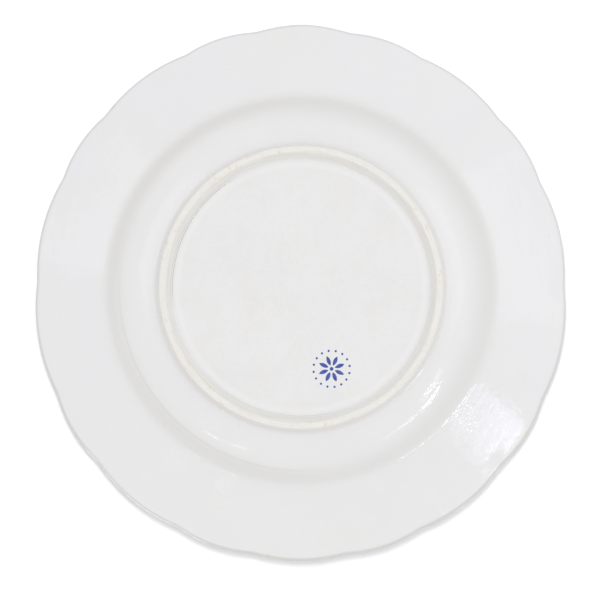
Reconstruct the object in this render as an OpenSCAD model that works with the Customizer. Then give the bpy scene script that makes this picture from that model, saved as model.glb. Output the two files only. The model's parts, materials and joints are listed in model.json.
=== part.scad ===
// Scalloped china dinner plate on a turned foot ring.
// It stands face up: the foot ring rests on z = 0, and the plate's axis is Z.

/* [Plate] */
// Width over the crests of the scallops
plate_d = 250; // [236:1:264]
// Height from the table to the top of the lip
plate_h = 24; // [22.5:0.5:26]
// Thickness of the middle, over the foot well
floor_t = 4; // [3.2:0.1:4.6]

/* [Rim] */
// Width over the concave corner where the underside turns into the rim
shoulder_d = 180.6; // [178:0.2:186]
// Slope of the rim, in degrees
rim_slope = 10.5; // [9:0.5:12]
// Thickness of the rim
rim_t = 3.4; // [3:0.1:3.8]
// Slope of the wall between the well and the rim, in degrees
wall_slope = 41; // [38:1:44]
// Thickness of that wall
wall_t = 3.8; // [3.4:0.1:4.2]

/* [Scallops] */
// How far a notch lies inside the crests
notch_depth = 1.2; // [0.8:0.1:1.6]
// Width of the bevels on the lip, at the crests
lip_bevel = 1.5; // [1.3:0.1:1.7]
// How far the bevels turn away from the rim, in degrees
lip_turn = 35; // [25:1:40]

/* [Foot ring] */
// Width over the middle of the standing edge
foot_d = 127.2; // [124.2:0.2:130.2]
// Width of the bare standing edge
foot_w = 2.3; // [2:0.1:2.6]
// Depth of the well inside the foot ring
foot_well_h = 3.2; // [2.8:0.1:3.6]

/* [Glaze] */
// Thickness of the glaze
glaze_t = 0.3; // [0.2:0.05:0.4]
// Height at which the glaze stops, above the standing edge
glaze_line = 0.6; // [0.5:0.05:0.8]

/* [Mark] */
// Width over the mark's ring of dots
mark_d = 18; // [12:1:22]
// Distance of the mark's middle from the plate's axis
mark_r = 40; // [30:0.5:44]
// Direction of the mark from the plate's axis, in degrees
mark_direction = 249; // [0:1:359]

/* [Hidden] */
$fn = 180;

// Half of the scallops, as degrees of rim, from the one at +Y round to the one at -Y.
// The other half mirrors them, so the first and the last scallop count once.
spans = [21, 16, 22, 16.5, 23.5, 25, 17, 22.5, 17, 20];
arc_steps = 8;

plate_r = plate_d / 2;
shoulder_r = shoulder_d / 2;
notch_r = plate_r - notch_depth;
// The turned lip ends just outside the crests, so that the scallops cut all of it.
nose_r = plate_r + 0.25;

// Foot ring: the inner flank is a long bevel, the outer one is steep.
foot_in = foot_d / 2 - foot_w / 2;
foot_out = foot_d / 2 + foot_w / 2;
inner_flank_slope = 43;
outer_flank_slope = 68;
cove_h = 4;
bottom_slope = 4;

function unit(v) = v / norm(v);
function flat(p) = [p[0], p[1]];
function turned(v, a) = [v[0] * cos(a) - v[1] * sin(a), v[0] * sin(a) + v[1] * cos(a)];
function reversed(list) = [for (i = [len(list) - 1:-1:0]) list[i]];
function total(list, n) = n == 0 ? 0 : list[n - 1] + total(list, n - 1);

// Height at radius r of a line through p that climbs outward at angle a
function height_at(p, a, r) = p[1] + (r - p[0]) * tan(a);
// Corner with fillet f where the line through p at angle a meets the line through q at angle b
function meet(p, a, q, b, f) =
    let (r = (q[1] - p[1] + p[0] * tan(a) - q[0] * tan(b)) / (tan(a) - tan(b)))
    [r, height_at(p, a, r), f];

// Arc that rounds a corner [r, z, fillet] between its two neighbours
function fillet(before, corner, after) =
    let (p = flat(corner),
         u = unit(flat(before) - p),
         v = unit(flat(after) - p),
         half = acos(u * v) / 2,
         centre = p + unit(u + v) * corner[2] / sin(half),
         start = p + u * corner[2] / tan(half) - centre,
         finish = p + v * corner[2] / tan(half) - centre,
         turn = (180 - 2 * half) * sign(cross(start, finish)))
    [for (i = [0:arc_steps]) centre + turned(start, turn * i / arc_steps)];

// A line of corners with each fillet drawn as an arc
function rounded(line) =
    [for (i = [0:len(line) - 1])
        each line[i][2] == 0 ? [flat(line[i])] : fillet(line[i - 1], line[i], line[i + 1])];

// A line of corners moved by t to the left of its direction of travel
function heading(line, i) = unit(flat(line[i + 1]) - flat(line[i]));
function shifted(line, t) =
    [for (i = [0:len(line) - 1])
        let (a = heading(line, max(i - 1, 0)),
             b = heading(line, min(i, len(line) - 2)),
             na = [-a[1], a[0]],
             nb = [-b[1], b[0]],
             p = flat(line[i]) + (na + nb) * t / (1 + na * nb),
             f = line[i][2] == 0 ? 0 : line[i][2] - t * sign(cross(a, b)))
        [p[0], p[1], f]];

// Corners [radius, height, fillet] of the glazed surface
face_floor = [0, foot_well_h + floor_t, 0];
lip_top = [plate_r - lip_bevel, plate_h, 0];
lip_under = [lip_top[0], plate_h - rim_t / cos(rim_slope), 0];
nose_top = [nose_r, height_at(lip_top, rim_slope - lip_turn, nose_r), 0];
nose_under = [nose_r, height_at(lip_under, rim_slope + lip_turn, nose_r), 0];
back_shoulder = [shoulder_r, height_at(lip_under, rim_slope, shoulder_r), 5.5];
over_shoulder = [shoulder_r, back_shoulder[1] + wall_t / cos(wall_slope)];
face_shoulder = meet(over_shoulder, wall_slope, lip_top, rim_slope, 4);
face_wall = meet(face_floor, 0, over_shoulder, wall_slope, 17);
cove = [foot_out + cove_h / tan(outer_flank_slope), cove_h, 2];
back_wall = meet(cove, bottom_slope, back_shoulder, wall_slope, 26);
back_end = [foot_out + glaze_line / tan(outer_flank_slope), glaze_line, 0];
foot_well_floor = [0, foot_well_h, 0];
foot_well_edge = [foot_in - foot_well_h / tan(inner_flank_slope), foot_well_h, 1.1];
foot_well_end = [foot_in - glaze_line / tan(inner_flank_slope), glaze_line, 0];

// The glazed surface from the middle of the face round to the foot ring, and inside the foot ring
face_line = [face_floor, face_wall, face_shoulder, lip_top, nose_top];
back_line = [nose_under, lip_under, back_shoulder, back_wall, cove, back_end];
foot_well_line = [foot_well_floor, foot_well_edge, foot_well_end];

// The clay under the glaze, with its bare standing edge
standing_edge = [[foot_out, 0, 0.5], [foot_in, 0, 0.5]];
foot_well_clay = reversed(shifted(foot_well_line, glaze_t));
clay_outline = concat(
    shifted(concat(face_line, back_line), -glaze_t),
    [back_end],
    standing_edge,
    [foot_well_end],
    foot_well_clay);

// The glaze on the face and on the back meet half way up the lip.
// From there the line between them runs on through the clay, to the middle of the plate.
function between(p, q, f) = [(p[0] + q[0]) / 2, (p[1] + q[1]) / 2, f];
middle_lip = between(nose_top, nose_under, 0);
middle_shoulder = between(face_shoulder, back_shoulder, 0);
middle_wall = between(face_wall, back_wall, 17);
middle_z = foot_well_h + floor_t / 2;
middle_floor = [0, middle_z, 0];
over_foot = [foot_out, middle_z, 0];
face_outline = concat(face_line, [middle_lip, middle_shoulder, middle_wall, middle_floor]);
back_outline = concat(back_line, [over_foot, middle_wall, middle_shoulder, middle_lip]);

module turned_solid(outline) {
    rotate_extrude() polygon(rounded(outline));
}

// One scallop reaches the crests at its middle and the notches at its two ends.
module scallop(span, inset) {
    reach = (plate_r ^ 2 - notch_r ^ 2) / (2 * (plate_r - notch_r * cos(span / 2)));
    translate([0, reach]) circle(plate_r - reach - inset);
}

// Everything inside the scalloped lip
module scallops(inset = 0) {
    linear_extrude(plate_h + 2) for (i = [0:len(spans) - 1]) {
        direction = total(spans, i) + (spans[i] - spans[0]) / 2;
        rotate(-direction) scallop(spans[i], inset);
        if (i > 0 && i < len(spans) - 1) rotate(direction) scallop(spans[i], inset);
    }
}

module clay() {
    intersection() {
        turned_solid(clay_outline);
        translate([0, 0, -1]) scallops(glaze_t);
    }
}

module biscuit_body() {
    color("#efe9dc") clay();
}

module face_glaze() {
    color("#f3f4f5") difference() {
        intersection() {
            turned_solid(face_outline);
            scallops();
        }
        clay();
    }
}

module back_glaze() {
    color("#eceef0") difference() {
        intersection() {
            turned_solid(back_outline);
            scallops();
        }
        clay();
    }
}

// Generic mark: a flower of eight petals in a ring of dots
module mark(depth) {
    petals = 8;
    dots = 16;
    petal_l = mark_d * 0.26;
    petal_w = mark_d * 0.1;
    petal_arc = (petal_l ^ 2 + petal_w ^ 2) / (4 * petal_w);
    cylinder(h = depth, d = mark_d * 0.1);
    for (i = [0:petals - 1]) rotate([0, 0, i * 360 / petals])
        translate([mark_d * 0.22, 0, 0]) intersection_for(side = [-1, 1])
            translate([0, side * (petal_arc - petal_w / 2), 0]) cylinder(h = depth, r = petal_arc);
    for (i = [0:dots - 1]) rotate([0, 0, (i + 0.5) * 360 / dots])
        translate([mark_d * 0.47, 0, 0]) cylinder(h = depth, d = mark_d * 0.06);
}

module placed_mark(depth) {
    rotate([0, 0, mark_direction]) translate([mark_r, 0, foot_well_h])
        rotate([0, 0, 90]) mark(depth);
}

module foot_well_glaze() {
    color("#eef0ee") difference() {
        turned_solid(concat(foot_well_line, foot_well_clay));
        translate([0, 0, -1]) placed_mark(glaze_t + 2);
    }
}

module printed_mark() {
    color("#2b3f9c") placed_mark(glaze_t);
}

biscuit_body();
face_glaze();
back_glaze();
foot_well_glaze();
printed_mark();
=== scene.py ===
"""Scalloped china dinner plate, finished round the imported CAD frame.

The plate stands face up on its foot ring, and the camera looks up at its underside.
Lengths are in millimetres up to the point where a mesh is made; meshes, lights and camera are in metres.
"""
import json
import math
import random

import bpy
import numpy as np
from mathutils import Matrix, Vector


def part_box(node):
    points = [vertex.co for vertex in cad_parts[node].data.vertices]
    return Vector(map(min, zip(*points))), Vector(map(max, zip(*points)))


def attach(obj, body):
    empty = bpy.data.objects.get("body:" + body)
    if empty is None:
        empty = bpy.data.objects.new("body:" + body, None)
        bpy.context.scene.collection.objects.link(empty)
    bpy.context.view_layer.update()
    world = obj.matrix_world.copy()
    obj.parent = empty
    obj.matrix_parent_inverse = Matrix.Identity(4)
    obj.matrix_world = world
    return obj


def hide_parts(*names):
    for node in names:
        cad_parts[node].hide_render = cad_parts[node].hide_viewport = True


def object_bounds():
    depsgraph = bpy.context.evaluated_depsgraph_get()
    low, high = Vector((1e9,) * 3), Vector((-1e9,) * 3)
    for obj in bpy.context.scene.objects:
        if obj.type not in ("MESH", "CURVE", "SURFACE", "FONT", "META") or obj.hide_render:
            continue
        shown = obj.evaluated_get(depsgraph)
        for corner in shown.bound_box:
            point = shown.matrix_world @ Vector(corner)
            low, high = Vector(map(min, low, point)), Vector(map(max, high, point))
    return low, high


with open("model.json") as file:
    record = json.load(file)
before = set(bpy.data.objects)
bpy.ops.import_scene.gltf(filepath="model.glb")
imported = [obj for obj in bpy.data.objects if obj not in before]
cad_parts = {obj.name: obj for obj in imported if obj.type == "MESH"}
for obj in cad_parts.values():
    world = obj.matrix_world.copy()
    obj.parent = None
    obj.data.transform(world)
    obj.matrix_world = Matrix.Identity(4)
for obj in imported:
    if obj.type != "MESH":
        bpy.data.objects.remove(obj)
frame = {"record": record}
CAD_LOW, CAD_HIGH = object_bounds()
MM = 0.001


# ---------------------------------------------------------------- sizes from the frame
def node_box(node):
    """Lowest and highest corner of a CAD node, in millimetres."""
    low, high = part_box(node)
    return np.array(low) / MM, np.array(high) / MM


MARK_LOW, MARK_HIGH = node_box("printed_mark")
PLATE_R = CAD_HIGH[1] / MM
PLATE_H = CAD_HIGH[2] / MM
MARK_MIDDLE = (MARK_LOW + MARK_HIGH) / 2
MARK_D = MARK_HIGH[0] - MARK_LOW[0]
# The record's one mount lies on the middle of the standing edge
FOOT_R = frame["record"]["mounts"][0]["pos_m"][0] / MM

# ---------------------------------------------------------------- the plate's own measures
FLOOR_T = 4.0
SHOULDER_R = 90.3
RIM_SLOPE = 10.5
RIM_T = 3.4
WALL_SLOPE = 41.0
WALL_T = 3.8
NOTCH_DEPTH = 1.2
NOTCH_ROUND = 0.12
FOOT_W = 2.3
FOOT_WELL_H = MARK_LOW[2]
GLAZE_T = 0.3
GLAZE_LINE = 0.6
LIP_BEVEL = 1.5
LIP_UNDER_ROUND = 2.5
LIP_TOP_ROUND = 0.9
LIP_RISE = 0.1
RIM_TURN_IN = 5.0
RIM_TURN_ROUND = 12.0
FACE_SHOULDER_ROUND = 4.0
FACE_WALL_ROUND = 17.0
BACK_SHOULDER_ROUND = 5.5
BACK_WALL_ROUND = 26.0
COVE_ROUND = 2.0
FOOT_WELL_ROUND = 1.1
STANDING_ROUND = 0.5
INNER_FLANK_SLOPE = 43.0
OUTER_FLANK_SLOPE = 68.0
BOTTOM_SLOPE = 4.0
COVE_H = 4.0
# Outside this radius the foot well is meshed finely enough for its turning marks
WELL_FINE_R = 57.0

# Half of the scallops in degrees of rim, from the one at +Y round to the one at -Y.
SPANS = (21, 16, 22, 16.5, 23.5, 25, 17, 22.5, 17, 20)
COLUMNS_PER_SCALLOP = 32


# ---------------------------------------------------------------- outline
def scallops():
    """(direction, span) of every scallop in degrees, clockwise from +Y, one after the other."""
    half = []
    start = -SPANS[0] / 2
    for span in SPANS:
        half.append((start + span / 2, span))
        start += span
    mirrored = [(360 - direction, span) for direction, span in half[-2:0:-1]]
    return half + mirrored


def columns():
    """Compass directions in degrees at which every surface has a column of vertices."""
    found = []
    for direction, span in scallops():
        steps = np.arange(COLUMNS_PER_SCALLOP) / COLUMNS_PER_SCALLOP
        found.extend(direction - span / 2 + span * steps)
    return np.array(found)


def lip_radius(compass):
    """Radius of the scalloped lip at each compass direction, with slightly rounded notches."""
    notch_r = PLATE_R - NOTCH_DEPTH
    total = np.zeros_like(compass)
    for direction, span in scallops():
        half = math.radians(span / 2)
        reach = (PLATE_R**2 - notch_r**2) / (2 * (PLATE_R - notch_r * math.cos(half)))
        radius = PLATE_R - reach
        away = np.radians((compass - direction + 180) % 360 - 180)
        arc = reach * np.cos(away) + np.sqrt(np.maximum(radius**2 - (reach * np.sin(away)) ** 2, 0))
        total += np.exp((np.where(np.abs(away) < 1, arc, 0) - PLATE_R) / NOTCH_ROUND)
    return PLATE_R + NOTCH_ROUND * np.log(total)


COMPASS = columns()
LIP = lip_radius(COMPASS)
LIP *= PLATE_R / LIP.max()
ANGLE = np.radians(90 - COMPASS)


# ---------------------------------------------------------------- profile
def height_at(point, slope, r):
    return point[1] + (r - point[0]) * math.tan(math.radians(slope))


def meet(p, slope_p, q, slope_q, fillet):
    """Corner where a line through p and a line through q cross."""
    tp, tq = math.tan(math.radians(slope_p)), math.tan(math.radians(slope_q))
    r = (q[1] - p[1] + p[0] * tp - q[0] * tq) / (tp - tq)
    return (r, height_at(p, slope_p, r), fillet)


def arc(before, corner, after, step=5.0):
    """Points of the fillet that rounds a corner (r, z, fillet)."""
    p, a, b = (np.array(c[:2], float) for c in (corner, before, after))
    u, v = (a - p) / np.linalg.norm(a - p), (b - p) / np.linalg.norm(b - p)
    half = math.acos(float(np.clip(u @ v, -1, 1))) / 2
    middle = p + (u + v) / np.linalg.norm(u + v) * corner[2] / math.sin(half)
    start = p + u * corner[2] / math.tan(half) - middle
    finish = p + v * corner[2] / math.tan(half) - middle
    turn = (math.pi - 2 * half) * np.sign(start[0] * finish[1] - start[1] * finish[0])
    count = max(3, int(abs(math.degrees(turn)) / step))
    found = []
    for i in range(count + 1):
        c, s = math.cos(turn * i / count), math.sin(turn * i / count)
        found.append(middle + (start[0] * c - start[1] * s, start[0] * s + start[1] * c))
    return found


def profile(corners, longest):
    """Smooth line through corners (r, z, fillet), with no step longer than longest."""
    line = []
    for i, corner in enumerate(corners):
        if corner[2]:
            line += arc(corners[i - 1], corner, corners[i + 1])
        else:
            line.append(np.array(corner[:2], float))
    dense = [line[0]]
    for point in line[1:]:
        step = np.linalg.norm(point - dense[-1])
        if step < 1e-6:
            continue
        parts = max(1, math.ceil(step / longest))
        last = dense[-1]
        dense += [last + (point - last) * k / parts for k in range(1, parts + 1)]
    return np.array(dense)


def shifted(corners, t):
    """Corners moved by t to the left of their direction of travel."""
    points = [np.array(c[:2], float) for c in corners]
    ways = [(b - a) / np.linalg.norm(b - a) for a, b in zip(points, points[1:])]
    found = []
    for i, corner in enumerate(corners):
        a, b = ways[max(i - 1, 0)], ways[min(i, len(ways) - 1)]
        na, nb = np.array((-a[1], a[0])), np.array((-b[1], b[0]))
        p = points[i] + (na + nb) * t / (1 + na @ nb)
        side = np.sign(a[0] * b[1] - a[1] * b[0])
        found.append((p[0], p[1], corner[2] - t * side if corner[2] else 0))
    return found


def plate_corners():
    """The face, back and foot well lines of the glazed surface, each as corners (r, z, fillet)."""
    foot_in, foot_out = FOOT_R - FOOT_W / 2, FOOT_R + FOOT_W / 2
    lip_top = (PLATE_R - LIP_BEVEL, PLATE_H)
    lip_under = (lip_top[0], PLATE_H - RIM_T / math.cos(math.radians(RIM_SLOPE)))
    back_shoulder = (SHOULDER_R, height_at(lip_under, RIM_SLOPE, SHOULDER_R), BACK_SHOULDER_ROUND)
    over_shoulder = (SHOULDER_R, back_shoulder[1] + WALL_T / math.cos(math.radians(WALL_SLOPE)))
    cove = (foot_out + COVE_H / math.tan(math.radians(OUTER_FLANK_SLOPE)), COVE_H, COVE_ROUND)
    nose_top = (PLATE_R, PLATE_H + LIP_RISE, LIP_TOP_ROUND)
    nose_under = (PLATE_R, height_at(lip_under, RIM_SLOPE, PLATE_R), LIP_UNDER_ROUND)
    middle = (PLATE_R, nose_top[1] - 0.42 * RIM_T, 0)
    face = [
        (0, FOOT_WELL_H + FLOOR_T, 0),
        meet((0, FOOT_WELL_H + FLOOR_T), 0, over_shoulder, WALL_SLOPE, FACE_WALL_ROUND),
        meet(over_shoulder, WALL_SLOPE, lip_top, RIM_SLOPE, FACE_SHOULDER_ROUND),
        (PLATE_R - RIM_TURN_IN, height_at(lip_top, RIM_SLOPE, PLATE_R - RIM_TURN_IN), RIM_TURN_ROUND),
        nose_top,
        middle,
    ]
    back = [
        middle,
        nose_under,
        back_shoulder,
        meet(cove, BOTTOM_SLOPE, back_shoulder, WALL_SLOPE, BACK_WALL_ROUND),
        cove,
        (foot_out + GLAZE_LINE / math.tan(math.radians(OUTER_FLANK_SLOPE)), GLAZE_LINE, 0),
    ]
    inner_flank = math.tan(math.radians(INNER_FLANK_SLOPE))
    well = [
        (0, FOOT_WELL_H, 0),
        (foot_in - FOOT_WELL_H / inner_flank, FOOT_WELL_H, FOOT_WELL_ROUND),
        (foot_in - GLAZE_LINE / inner_flank, GLAZE_LINE, 0),
    ]
    standing = [(foot_out, 0, STANDING_ROUND), (foot_in, 0, STANDING_ROUND)]
    return face, back, well, standing


def smoothstep(low, high, x):
    t = np.clip((x - low) / (high - low), 0, 1)
    return t * t * (3 - 2 * t)


# ---------------------------------------------------------------- surfaces
def out_of_round(angle):
    """How far the lip stands outside its drawn outline, in millimetres."""
    top_lobe = np.exp(-(((np.degrees(angle) - 90 + 180) % 360 - 180) / 6.0) ** 2)
    return -0.42 * np.cos(2 * angle) + 0.6 * top_lobe


def rim_wave(r, angle):
    """How far the hand-finished rim rises and falls, in millimetres."""
    wave = 0.16 * np.cos(2 * angle + 0.7) + 0.09 * np.cos(3 * angle - 1.1)
    wave += 0.05 * np.cos(5 * angle + 2.0)
    return wave * smoothstep(85, 120, r)


def hump(angle, centre, width):
    """1 at a direction in degrees from +X, falling to 0 at width away from it."""
    away = np.abs((np.degrees(angle) - centre + 180) % 360 - 180)
    return 1 - smoothstep(0.45, 1, away / width)


def underside_relief(r, angle):
    """Fine turning marks in the foot well, in millimetres, positive towards the clay."""
    rings = 0.006 * np.sin(r * 1.9 + 0.6 * np.sin(angle)) * (1 - smoothstep(52, 58, r))
    left = hump(angle, 32, 46)
    groove = np.exp(-(((r - 58.9) / 0.25) ** 2)) + 0.6 * np.exp(-(((r - 60.3) / 0.2) ** 2))
    ridge = np.exp(-(((r - 59.5) / 0.25) ** 2))
    flank = smoothstep(60.2, 60.6, r) * (1 - smoothstep(61.9, 62.3, r))
    steps = 0.016 * np.sin((r - 60) * 2 * math.pi / 0.7) * flank
    return rings + left * (0.06 * groove - 0.04 * ridge) + steps


def uneven_curve(r, angle):
    """How far the turned curve of the wall is pushed outward, in millimetres."""
    late = 1.8 * hump(angle, 300, 45) + 1.0 * hump(angle, 232, 25)
    return late * smoothstep(70, 77, r) * (1 - smoothstep(80, 88, r))


def surface_points(line, relief=False):
    """Points of a profile line at every column, as rows by columns by 3, in millimetres."""
    r, z = line[:, 0][:, None], line[:, 1][:, None]
    angle = ANGLE[None, :]
    lip = (LIP - PLATE_R)[None, :] * smoothstep(PLATE_R - 10, PLATE_R - 1, r)
    radius = r + lip + out_of_round(angle) * smoothstep(PLATE_R - 30, PLATE_R - 1, r)
    height = z + rim_wave(r, angle)
    if relief:
        height = height + underside_relief(r, angle)
        radius = radius + uneven_curve(r, angle)
    return np.stack([radius * np.cos(angle), radius * np.sin(angle), height * np.ones_like(radius)], -1)


def closed_mesh(name, loops):
    """Mesh from rows of columns. The loops run one after the other round the section."""
    rows = np.concatenate(loops)
    count = rows.shape[1]
    vertices, index = [], []
    for row in rows:
        if np.abs(row[:, :2]).max() < 1e-6:
            index.append(np.full(count, len(vertices)))
            vertices.append(row[0])
        else:
            index.append(np.arange(count) + len(vertices))
            vertices.extend(row)
    faces = []
    on_axis = len(set(index[0])) == 1
    rings = len(index) if not on_axis else len(index) - 1
    for i in range(rings):
        a, b = index[i], index[(i + 1) % len(index)]
        for j in range(count):
            k = (j + 1) % count
            face = (a[j], a[k], b[k], b[j])
            face = tuple(dict.fromkeys(int(v) for v in face))
            if len(face) > 2:
                faces.append(face)
    mesh = bpy.data.meshes.new(name)
    mesh.from_pydata((np.array(vertices) * MM).tolist(), [], faces)
    mesh.validate()
    mesh.update()
    return mesh


def piece_from(name, mesh, node, material):
    """Object that stands for a CAD node, rides with the plate and has the given material."""
    mesh.polygons.foreach_set("use_smooth", [True] * len(mesh.polygons))
    mesh.set_sharp_from_angle(angle=math.radians(50))
    obj = bpy.data.objects.new(name, mesh)
    bpy.context.scene.collection.objects.link(obj)
    mesh.materials.append(material)
    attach(obj, "root")
    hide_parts(node)
    return obj


# ---------------------------------------------------------------- materials
class Nodes:
    """Short way to add and link shader nodes."""

    def __init__(self, name):
        self.material = bpy.data.materials.new(name)
        self.material.use_nodes = True
        self.tree = self.material.node_tree
        self.shader = self.tree.nodes["Principled BSDF"]
        self.place = self.add("ShaderNodeTexCoord").outputs["Object"]

    def add(self, kind, **values):
        node = self.tree.nodes.new(kind)
        for key, value in values.items():
            setattr(node, key, value)
        return node

    def link(self, source, target):
        if isinstance(source, (int, float, tuple)):
            target.default_value = source
        else:
            self.tree.links.new(source, target)

    def math(self, operation, a, b=0.0, clamp=False):
        node = self.add("ShaderNodeMath", operation=operation, use_clamp=clamp)
        self.link(a, node.inputs[0])
        self.link(b, node.inputs[1])
        return node.outputs[0]

    def noise(self, scale, detail=2.0, roughness=0.5, where=None):
        node = self.add("ShaderNodeTexNoise")
        node.inputs["Scale"].default_value = scale
        node.inputs["Detail"].default_value = detail
        node.inputs["Roughness"].default_value = roughness
        self.link(where or self.place, node.inputs["Vector"])
        return node.outputs["Fac"]

    def ramp(self, value, low, high, out_low=0.0, out_high=1.0, smooth=True):
        node = self.add("ShaderNodeMapRange", interpolation_type="SMOOTHSTEP" if smooth else "LINEAR")
        self.link(value, node.inputs["Value"])
        node.inputs["From Min"].default_value = low
        node.inputs["From Max"].default_value = high
        node.inputs["To Min"].default_value = out_low
        node.inputs["To Max"].default_value = out_high
        return node.outputs["Result"]

    def mix(self, factor, a, b):
        node = self.add("ShaderNodeMix", data_type="RGBA")
        self.link(factor, node.inputs["Factor"])
        self.link(a, node.inputs[6])
        self.link(b, node.inputs[7])
        return node.outputs[2]

    def radius(self):
        """Distance from the plate's axis, in metres."""
        flat = self.add("ShaderNodeVectorMath", operation="MULTIPLY")
        self.link(self.place, flat.inputs[0])
        flat.inputs[1].default_value = (1, 1, 0)
        length = self.add("ShaderNodeVectorMath", operation="LENGTH")
        self.link(flat.outputs[0], length.inputs[0])
        return length.outputs["Value"]

    def side(self, x, y, low, high, out_low=0.0, out_high=1.0):
        """Goes from out_low to out_high towards the side of the plate in the direction (x, y)."""
        way = self.add("ShaderNodeVectorMath", operation="NORMALIZE")
        self.link(self.place, way.inputs[0])
        dot = self.add("ShaderNodeVectorMath", operation="DOT_PRODUCT")
        self.link(way.outputs[0], dot.inputs[0])
        dot.inputs[1].default_value = Vector((x, y, 0)).normalized()
        return self.ramp(dot.outputs["Value"], low, high, out_low, out_high)

    def turned(self, per_metre, per_turn):
        """Coordinates along the turning marks: texture cells per metre of radius and per turn."""
        parts = self.add("ShaderNodeSeparateXYZ")
        self.link(self.place, parts.inputs[0])
        angle = self.math("ARCTAN2", parts.outputs["Y"], parts.outputs["X"])
        polar = self.add("ShaderNodeCombineXYZ")
        self.link(self.math("MULTIPLY", self.radius(), float(per_metre)), polar.inputs[0])
        self.link(self.math("MULTIPLY", angle, per_turn / (2 * math.pi)), polar.inputs[1])
        return polar.outputs[0]

    def ring(self, radius, middle, width):
        """1 at that distance from the axis and 0 further than width from it; all in millimetres."""
        away = self.math("ABSOLUTE", self.math("SUBTRACT", radius, middle * MM))
        return self.ramp(away, 0, width * MM, 1, 0)

    def spot(self, centre, size, wobble=0.35):
        """1 within a ragged spot round a point, in millimetres."""
        offset = self.add("ShaderNodeVectorMath", operation="SUBTRACT")
        self.link(self.place, offset.inputs[0])
        offset.inputs[1].default_value = tuple(c * MM for c in centre)
        length = self.add("ShaderNodeVectorMath", operation="LENGTH")
        self.link(offset.outputs[0], length.inputs[0])
        ragged = self.ramp(self.noise(900, 3), 0, 1, 1 - wobble, 1 + wobble, smooth=False)
        away = self.math("DIVIDE", length.outputs["Value"], ragged)
        return self.ramp(away, 0.35 * size * MM, size * MM, 1, 0)

    def bump(self, height, strength, distance, after=None):
        node = self.add("ShaderNodeBump")
        node.inputs["Strength"].default_value = strength
        node.inputs["Distance"].default_value = distance
        self.link(height, node.inputs["Height"])
        if after is not None:
            self.link(after, node.inputs["Normal"])
        return node.outputs["Normal"]


# Colours are linear red, green, blue and alpha
WARM_CLOUD = (0.81, 0.79, 0.73, 1)
COOL_CLOUD = (0.80, 0.79, 0.82, 1)
COOL_PATCH = (0.825, 0.822, 0.850, 1)
CLAY_GRAIN = (0.74, 0.73, 0.69, 1)
# Grey of the lip: painted shade, together with clay seen through thin glaze
THIN_GLAZE_AND_LIP_SHADE = (0.66, 0.645, 0.61, 1)
SHOULDER_SHADE_UPPER = (0.765, 0.755, 0.73, 1)
WALL_SHADE_RIGHT = (0.76, 0.765, 0.75, 1)
COVE_SHADE = (0.79, 0.77, 0.73, 1)
GREY_LINE = (0.66, 0.63, 0.60, 1)
OCHRE_STAIN = (0.55, 0.40, 0.24, 1)
WELL_EDGE_HIGHLIGHT = (0.89, 0.89, 0.875, 1)
WELL_FLANK = (0.81, 0.803, 0.765, 1)
TURNING_LINE = (0.70, 0.66, 0.56, 1)
GROOVE_SHADE = (0.56, 0.54, 0.50, 1)
CLAY_LINE = (0.76, 0.72, 0.62, 1)
CLAY_OCHRE = (0.74, 0.60, 0.42, 1)
CLAY_ROSE = (0.80, 0.62, 0.56, 1)


def glaze_gloss(n, low=0.05, high=0.10):
    """Roughness of a glossy old glaze: a little duller in cloudy patches."""
    n.shader.inputs["IOR"].default_value = 1.5
    patches = n.noise(38, 4, 0.6)
    n.link(n.ramp(patches, 0.35, 0.7, low, high), n.shader.inputs["Roughness"])


def glaze_bump(n, depth=0.00014):
    """Slow waves, fine turning marks and a faint orange peel in the glaze."""
    waves = n.bump(n.noise(80, 4, 0.55), 1.0, depth)
    fade = n.ramp(n.radius(), 0.078, 0.088, 1.0, 0.45)
    turning = n.math("MULTIPLY", n.noise(1.0, 4, 0.6, n.turned(420, 30)), fade)
    marks = n.bump(turning, 1.0, 0.00009, waves)
    peel = n.bump(n.noise(420, 2), 0.4, 0.00001, marks)
    n.link(peel, n.shader.inputs["Normal"])


def mottle(n, colour, amount, warm_share=1.0, scale=75):
    """Clouds of a faint warm and a faint cool tint, as old glaze has."""
    warm = n.math("MULTIPLY", n.ramp(n.noise(scale, 5, 0.65), 0.46, 0.72), amount * warm_share)
    colour = n.mix(warm, colour, WARM_CLOUD)
    shifted_place = n.add("ShaderNodeVectorMath", operation="ADD")
    n.link(n.place, shifted_place.inputs[0])
    shifted_place.inputs[1].default_value = (0.7, 0.3, 0.1)
    cool = n.ramp(n.noise(0.7 * scale, 5, 0.62, shifted_place.outputs[0]), 0.44, 0.72)
    return n.mix(n.math("MULTIPLY", cool, amount), colour, COOL_CLOUD)


def grain(n, colour, amount):
    """Fine grain of the clay, seen through the glaze."""
    return n.mix(n.ramp(n.noise(520, 3, 0.6), 0.35, 0.65, 0, amount), colour, CLAY_GRAIN)


def outward(n):
    """How far the surface faces away from the axis: 0 where it lies flat, 1 for an upright wall."""
    flat = n.add("ShaderNodeVectorMath", operation="MULTIPLY")
    n.link(n.place, flat.inputs[0])
    flat.inputs[1].default_value = (1, 1, 0)
    way = n.add("ShaderNodeVectorMath", operation="NORMALIZE")
    n.link(flat.outputs[0], way.inputs[0])
    dot = n.add("ShaderNodeVectorMath", operation="DOT_PRODUCT")
    n.link(way.outputs[0], dot.inputs[0])
    n.link(n.add("ShaderNodeTexCoord").outputs["Normal"], dot.inputs[1])
    return dot.outputs["Value"]


def lip_shade_and_thin_glaze(n, colour):
    """Painted shade on the rounded lip, darker where it turns outward; the glaze also runs thin there,
    so that the greyer clay shows through.
    """
    at_lip = n.ramp(n.radius(), 0.119, 0.121)
    turned = n.math("MULTIPLY", n.ramp(outward(n), 0.35, 0.85), at_lip)
    return n.mix(n.math("MULTIPLY", turned, 0.8), colour, THIN_GLAZE_AND_LIP_SHADE)


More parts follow.
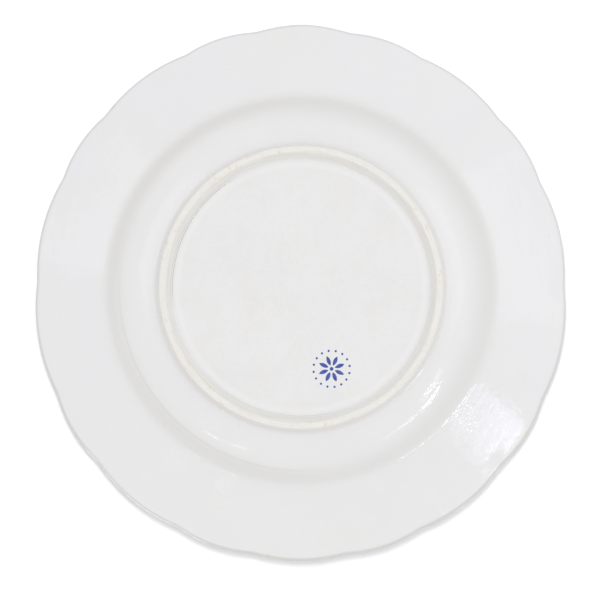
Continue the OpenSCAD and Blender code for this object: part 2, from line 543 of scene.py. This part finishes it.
def specks(n, colour, scale, size, tint, keep=0.5):
    """Scatters small dark specks, as iron does in a glaze."""
    cells = n.add("ShaderNodeTexVoronoi")
    cells.inputs["Scale"].default_value = scale
    n.link(n.place, cells.inputs["Vector"])
    chosen = n.math("GREATER_THAN", n.noise(scale * 0.37, 1), keep)
    dot = n.ramp(cells.outputs["Distance"], 0.2 * size, size, 1, 0)
    return n.mix(n.math("MULTIPLY", dot, chosen), colour, tint)


def face_glaze_material():
    n = Nodes("face_glaze")
    glaze_gloss(n, 0.04, 0.08)
    colour = n.mix(n.noise(14, 3), (0.81, 0.81, 0.80, 1), (0.84, 0.84, 0.84, 1))
    colour = mottle(n, colour, 0.25)
    colour = lip_shade_and_thin_glaze(n, colour)
    colour = specks(n, colour, 95, 0.05, (0.42, 0.36, 0.30, 1), 0.58)
    n.link(colour, n.shader.inputs["Base Color"])
    glaze_bump(n, 0.00008)
    return n.material


def back_glaze_material():
    n = Nodes("back_glaze")
    glaze_gloss(n)
    radius = n.radius()
    colour = n.mix(n.noise(16, 3), (0.822, 0.82, 0.812, 1), (0.842, 0.84, 0.834, 1))
    colour = grain(n, mottle(n, colour, 0.25, 0.6), 0.06)
    patches = n.ramp(n.noise(34, 4, 0.55), 0.42, 0.60, 0, 0.45)
    cool = n.math("MULTIPLY", n.ramp(radius, 0.092, 0.100), n.side(0, 1, -0.95, -0.3, 0.0, 1.0))
    cool = n.math("MULTIPLY", cool, patches)
    colour = n.mix(cool, colour, COOL_PATCH)
    # Painted shade: a darker grey-brown band along the concave shoulder, stronger towards the upper side
    upper = n.side(-0.1, 0.9, -0.6, 0.9, 0.45, 1.0)
    colour = n.mix(n.math("MULTIPLY", n.ring(radius, 87.3, 7.0), upper), colour, SHOULDER_SHADE_UPPER)
    # Painted shade: a darker grey band along the wall, towards the right side
    right = n.side(-0.8, 0.4, -0.2, 0.7, 0, 0.65)
    colour = n.mix(n.math("MULTIPLY", n.ring(radius, 83.5, 8.0), right), colour, WALL_SHADE_RIGHT)
    left = n.side(0.7, -0.7, 0.5, 0.9, 0, 0.25)
    colour = n.mix(n.math("MULTIPLY", n.ring(radius, 83.8, 1.0), left), colour, GREY_LINE)
    stain = n.spot((90.0, 86.5, 22.0), 3.0)
    colour = n.mix(n.math("MULTIPLY", stain, 0.6), colour, OCHRE_STAIN)
    # Painted shade in the cove beside the foot ring's outer wall
    colour = n.mix(n.math("MULTIPLY", n.ring(radius, 66.3, 1.8), 0.6), colour, COVE_SHADE)
    colour = lip_shade_and_thin_glaze(n, colour)
    colour = specks(n, colour, 110, 0.04, (0.50, 0.42, 0.34, 1), 0.6)
    n.link(colour, n.shader.inputs["Base Color"])
    glaze_bump(n)
    return n.material


def foot_well_material():
    n = Nodes("foot_well_glaze")
    glaze_gloss(n, 0.06, 0.12)
    radius = n.radius()
    colour = n.mix(n.noise(22, 4), (0.825, 0.822, 0.812, 1), (0.85, 0.85, 0.845, 1))
    colour = grain(n, mottle(n, colour, 0.32, 1.3, 62), 0.14)
    # Painted highlight: a lighter ring just inside the foot well's edge
    colour = n.mix(n.math("MULTIPLY", n.ring(radius, 57.0, 2.6), 0.5), colour, WELL_EDGE_HIGHLIGHT)
    colour = n.mix(n.ramp(radius, 0.0588, 0.0606, 0, 0.7), colour, WELL_FLANK)
    lines = n.ramp(n.noise(1.0, 2, 0.6, n.turned(2300, 20)), 0.4, 0.65)
    outside = n.math("MULTIPLY", n.ramp(radius, 0.0592, 0.0604), 0.4)
    colour = n.mix(n.math("MULTIPLY", lines, outside), colour, TURNING_LINE)
    # Painted shade: dark lines in the grooves at the foot well's edge, on the left and lower sides
    left = n.side(0.9, 0.42, 0.80, 0.92)
    left = n.math("MAXIMUM", left, n.side(0.22, -0.97, 0.78, 0.95, 0, 0.5))
    outer_groove_shade_mask = n.math("MULTIPLY", n.ring(radius, 59.8, 0.25), 0.6)
    groove_shade_mask = n.math("MAXIMUM", n.ring(radius, 59.0, 0.3), outer_groove_shade_mask)
    colour = n.mix(n.math("MULTIPLY", groove_shade_mask, left), colour, GROOVE_SHADE)
    n.link(colour, n.shader.inputs["Base Color"])
    glaze_bump(n)
    return n.material


def bare_clay_material():
    n = Nodes("bare_clay")
    n.shader.inputs["Roughness"].default_value = 0.62
    colour = n.mix(n.noise(160, 4, 0.65), (0.83, 0.815, 0.77, 1), (0.88, 0.87, 0.84, 1))
    lines = n.ramp(n.noise(1.0, 2, 0.6, n.turned(2600, 24)), 0.45, 0.62, 0, 0.45)
    colour = n.mix(lines, colour, CLAY_LINE)
    ochre = n.ramp(n.noise(230, 4, 0.7), 0.56, 0.70, 0, 0.5)
    colour = n.mix(ochre, colour, CLAY_OCHRE)
    rosy = n.ramp(n.noise(310, 3, 0.7), 0.60, 0.70, 0, 0.35)
    colour = n.mix(rosy, colour, CLAY_ROSE)
    n.link(colour, n.shader.inputs["Base Color"])
    n.link(n.bump(n.noise(1600, 4, 0.7), 0.5, 0.00006), n.shader.inputs["Normal"])
    return n.material


def blue_print_material():
    n = Nodes("blue_print")
    glaze_gloss(n, 0.10, 0.16)
    cloud = n.ramp(n.noise(700, 4, 0.7), 0.3, 0.7)
    colour = n.mix(cloud, (0.030, 0.065, 0.30, 1), (0.075, 0.13, 0.44, 1))
    n.link(colour, n.shader.inputs["Base Color"])
    return n.material


# ---------------------------------------------------------------- the pieces
def make_plate():
    face, back, well, standing = plate_corners()
    outer = face[:-1] + back[1:]
    clay = shifted(outer, -GLAZE_T)
    clay_line = np.concatenate(
        [
            profile(clay, 3.0),
            profile([back[-1]] + standing + [well[-1]], 0.25),
            profile(shifted(well, GLAZE_T), 3.0)[::-1],
        ]
    )
    body = closed_mesh("biscuit_body", [surface_points(clay_line)])
    piece_from("clay_body", body, "biscuit_body", bare_clay_material())

    face_out = surface_points(profile(face, 1.6))
    face_in = surface_points(profile(shifted(face, -GLAZE_T), 5.0)[::-1])
    shell = closed_mesh("face_glaze", [face_out, face_in])
    piece_from("glaze_on_face", shell, "face_glaze", face_glaze_material())

    back_out = surface_points(profile(back, 1.2), relief=True)
    back_in = surface_points(profile(shifted(back, -GLAZE_T), 5.0)[::-1])
    shell = closed_mesh("back_glaze", [back_out, back_in])
    piece_from("glaze_on_back", shell, "back_glaze", back_glaze_material())

    fine_start = (WELL_FINE_R, FOOT_WELL_H, 0)
    well_middle = profile([well[0], fine_start], 1.5)
    well_edge = profile([fine_start] + well[1:], 0.14)
    well_line = np.concatenate([well_middle, well_edge[1:]])
    well_out = surface_points(well_line, relief=True)
    well_in = surface_points(profile(shifted(well, GLAZE_T), 5.0)[::-1])
    shell = closed_mesh("foot_well_glaze", [well_out, well_in])
    piece_from("glaze_in_foot_well", shell, "foot_well_glaze", foot_well_material())


def petal(length, width, count=14):
    """Closed outline of a pointed petal along X, about its middle."""
    radius = (length**2 + width**2) / (4 * width)
    sweep = math.asin(length / 2 / radius)
    side = [
        (radius * math.sin(a), radius * math.cos(a) - radius + width / 2)
        for a in np.linspace(-sweep, sweep, count)
    ]
    return side + [(x, -y) for x, y in side[-2:0:-1]]


def disc(radius, count=20):
    return [
        (radius * math.cos(a), radius * math.sin(a))
        for a in np.linspace(0, 2 * math.pi, count, endpoint=False)
    ]


PETALS = 8
DOTS = 16
RAGGED = 0.025
PRINT_PROUD = 0.02


def make_mark():
    """Generic printed flower in a ring of dots, with slightly ragged edges."""
    rng = random.Random(7)
    shapes = [(disc(MARK_D * 0.05), (0, 0), 0)]
    for i in range(PETALS):
        turn = i * 2 * math.pi / PETALS
        shapes.append((petal(MARK_D * 0.26, MARK_D * 0.1), (MARK_D * 0.22, 0), turn))
    for i in range(DOTS):
        turn = (i + 0.5) * 2 * math.pi / DOTS
        shapes.append((disc(MARK_D * 0.03, 14), (MARK_D * 0.47, 0), turn))
    vertices, faces = [], []
    tilt = math.atan2(MARK_MIDDLE[1], MARK_MIDDLE[0]) + math.pi / 2
    outer, inner = FOOT_WELL_H - PRINT_PROUD, FOOT_WELL_H + GLAZE_T
    for outline, shift, turn in shapes:
        spot = []
        for x, y in outline:
            x, y = x + shift[0] + rng.gauss(0, RAGGED), y + shift[1] + rng.gauss(0, RAGGED)
            c, s = math.cos(turn + tilt), math.sin(turn + tilt)
            spot.append((MARK_MIDDLE[0] + x * c - y * s, MARK_MIDDLE[1] + x * s + y * c))
        base, count = len(vertices), len(spot)
        vertices += [(x, y, outer) for x, y in spot] + [(x, y, inner) for x, y in spot]
        faces.append(tuple(range(base + count - 1, base - 1, -1)))
        faces.append(tuple(range(base + count, base + 2 * count)))
        for j in range(count):
            k = (j + 1) % count
            faces.append((base + j, base + k, base + count + k, base + count + j))
    mesh = bpy.data.meshes.new("printed_mark")
    mesh.from_pydata((np.array(vertices) * MM).tolist(), [], faces)
    mesh.validate()
    piece_from("flower_print", mesh, "printed_mark", blue_print_material())


# ---------------------------------------------------------------- stage, light and camera
def one_sided(name, colour):
    """Matt material that is seen only on the side its faces look to."""
    n = Nodes(name)
    n.shader.inputs["Base Color"].default_value = colour
    n.shader.inputs["Roughness"].default_value = 1.0
    n.shader.inputs["Specular IOR Level"].default_value = 0.0
    clear = n.add("ShaderNodeBsdfTransparent")
    side = n.add("ShaderNodeNewGeometry")
    mix = n.add("ShaderNodeMixShader")
    n.link(side.outputs["Backfacing"], mix.inputs[0])
    n.link(n.shader.outputs[0], mix.inputs[1])
    n.link(clear.outputs[0], mix.inputs[2])
    n.link(mix.outputs[0], n.tree.nodes["Material Output"].inputs["Surface"])
    return n.material


# Radii in metres, and the gap between the lip and the backdrop in millimetres
FLOOR_R = 6.0
BACKDROP_R = 0.30
BACKDROP_GAP = 0.3
STAGE_SIDES = 96


def stage_disc(name, radius, z, faces_up, material):
    """Round stage that only the camera sees, so that it never stands in the way of the light."""
    points = disc(radius, STAGE_SIDES)
    mesh = bpy.data.meshes.new(name)
    order = range(STAGE_SIDES) if faces_up else range(STAGE_SIDES - 1, -1, -1)
    mesh.from_pydata([(x, y, z) for x, y in points], [], [tuple(order)])
    mesh.materials.append(material)
    obj = bpy.data.objects.new(name, mesh)
    bpy.context.scene.collection.objects.link(obj)
    for ray in ("diffuse", "glossy", "transmission", "volume_scatter", "shadow"):
        setattr(obj, "visible_" + ray, False)
    return obj


def make_stage():
    """The floor under the foot ring, and the backdrop behind the plate in the view from below."""
    stage_disc("floor", FLOOR_R, 0.0, True, one_sided("floor_paper", (0.80, 0.80, 0.80, 1)))
    behind = (PLATE_H + BACKDROP_GAP) * MM
    paper = one_sided("backdrop_paper", (0.78, 0.78, 0.78, 1))
    return stage_disc("backdrop", BACKDROP_R, behind, False, paper)


def area_light(name, way, distance, size, power, colour=(1, 1, 1), glossy=True, diffuse=True):
    """Light that faces the plate from the direction way; size is its width and its height."""
    data = bpy.data.lights.new(name, "AREA")
    data.shape = "RECTANGLE"
    data.size, data.size_y = size
    data.energy = power
    data.color = colour
    obj = bpy.data.objects.new(name, data)
    bpy.context.scene.collection.objects.link(obj)
    way = Vector(way).normalized()
    across = Vector((0, 0, 1)).cross(way).normalized()
    matrix = Matrix((across, way.cross(across), way)).transposed().to_4x4()
    matrix.translation = way * distance
    obj.matrix_world = matrix
    obj.visible_glossy = glossy
    obj.visible_diffuse = diffuse
    return obj


def below(polar, azimuth):
    """Direction under the plate, polar degrees off straight down.

    The azimuth is as the camera sees it: 0 is right and 90 is up.
    """
    p, a = math.radians(polar), math.radians(azimuth)
    return (-math.sin(p) * math.cos(a), math.sin(p) * math.sin(a), -math.cos(p))


ROOM_STRENGTH = 0.876
LILAC = (0.88, 0.90, 1.12)
VIOLET = (0.98, 0.86, 1.30)
WARM = (1.1, 0.95, 0.8)


def make_lights(backdrop):
    """The pale room, its cards, windows and lamps under the plate, and soft light from above."""
    world = bpy.data.worlds.new("pale_room")
    world.use_nodes = True
    world.node_tree.nodes["Background"].inputs["Color"].default_value = (1, 1, 1, 1)
    world.node_tree.nodes["Background"].inputs["Strength"].default_value = ROOM_STRENGTH
    bpy.context.scene.world = world
    area_light("key_under", below(38, 30), 1.2, (0.6, 0.6), 0.8, glossy=False)
    # This one lights the backdrop alone, to give the plate's shadow its strength
    shadow = area_light("backdrop_light", below(45, 95), 1.2, (0.45, 0.45), 9.0, glossy=False)
    lit = bpy.data.collections.new("lit_by_backdrop_light")
    lit.objects.link(backdrop)
    shadow.light_linking.receiver_collection = lit
    area_light("card_right", below(26, 22), 1.0, (0.40, 0.34), 0.34, LILAC)
    area_light("card_left", below(26, 150), 1.0, (0.34, 0.32), 0.26, LILAC)
    area_light("window", below(30.9, 331.8), 1.0, (0.145, 0.062), 0.064, VIOLET)
    area_light("window_head", below(26.5, 333), 1.0, (0.085, 0.014), 0.080)
    area_light("window_core", below(32.8, 331.4), 1.0, (0.115, 0.006), 0.045)
    area_light("high_window", below(44, 328), 1.0, (0.16, 0.07), 0.50, diffuse=False)
    area_light("high_window_tail", below(44.5, 313), 1.0, (0.24, 0.022), 0.24, diffuse=False)
    area_light("lamp_shoulder", below(25.7, 246), 1.0, (0.05, 0.005), 0.010)
    area_light("lamp_wall", below(37, 246), 1.0, (0.07, 0.02), 0.07)
    area_light("lamp_wall_left", below(42, 236.5), 1.0, (0.09, 0.03), 0.10)
    area_light("lamp_warm", below(26.1, 228), 1.0, (0.09, 0.005), 0.008, WARM)
    area_light("key_above", (0.5, -0.6, 0.9), 1.4, (0.5, 0.5), 2.0)
    area_light("fill_above", (-0.8, 0.3, 0.6), 1.6, (1.0, 0.6), 0.4)


CAMERA_PLACE = (0.0020, -0.0830, -0.9965)
CAMERA_AIM = (0.0004, -0.0061, 0.0)
CAMERA_ROLL = 0.49
FOCAL_OVER_WIDTH = 3.643


def make_camera():
    data = bpy.data.cameras.new("photo_view")
    data.sensor_width = 36.0
    data.lens = data.sensor_width * FOCAL_OVER_WIDTH
    data.clip_start, data.clip_end = 0.05, 50
    camera = bpy.data.objects.new("photo_view", data)
    bpy.context.scene.collection.objects.link(camera)
    back = (Vector(CAMERA_PLACE) - Vector(CAMERA_AIM)).normalized()
    right = Vector((0, 1, 0)).cross(back).normalized()
    right.rotate(Matrix.Rotation(math.radians(CAMERA_ROLL), 3, back))
    matrix = Matrix((right, back.cross(right), back)).transposed().to_4x4()
    matrix.translation = Vector(CAMERA_PLACE)
    camera.matrix_world = matrix
    bpy.context.scene.camera = camera


def main():
    bpy.context.scene.view_settings.view_transform = "Standard"
    make_camera()
    make_plate()
    make_mark()
    make_lights(make_stage())


main()
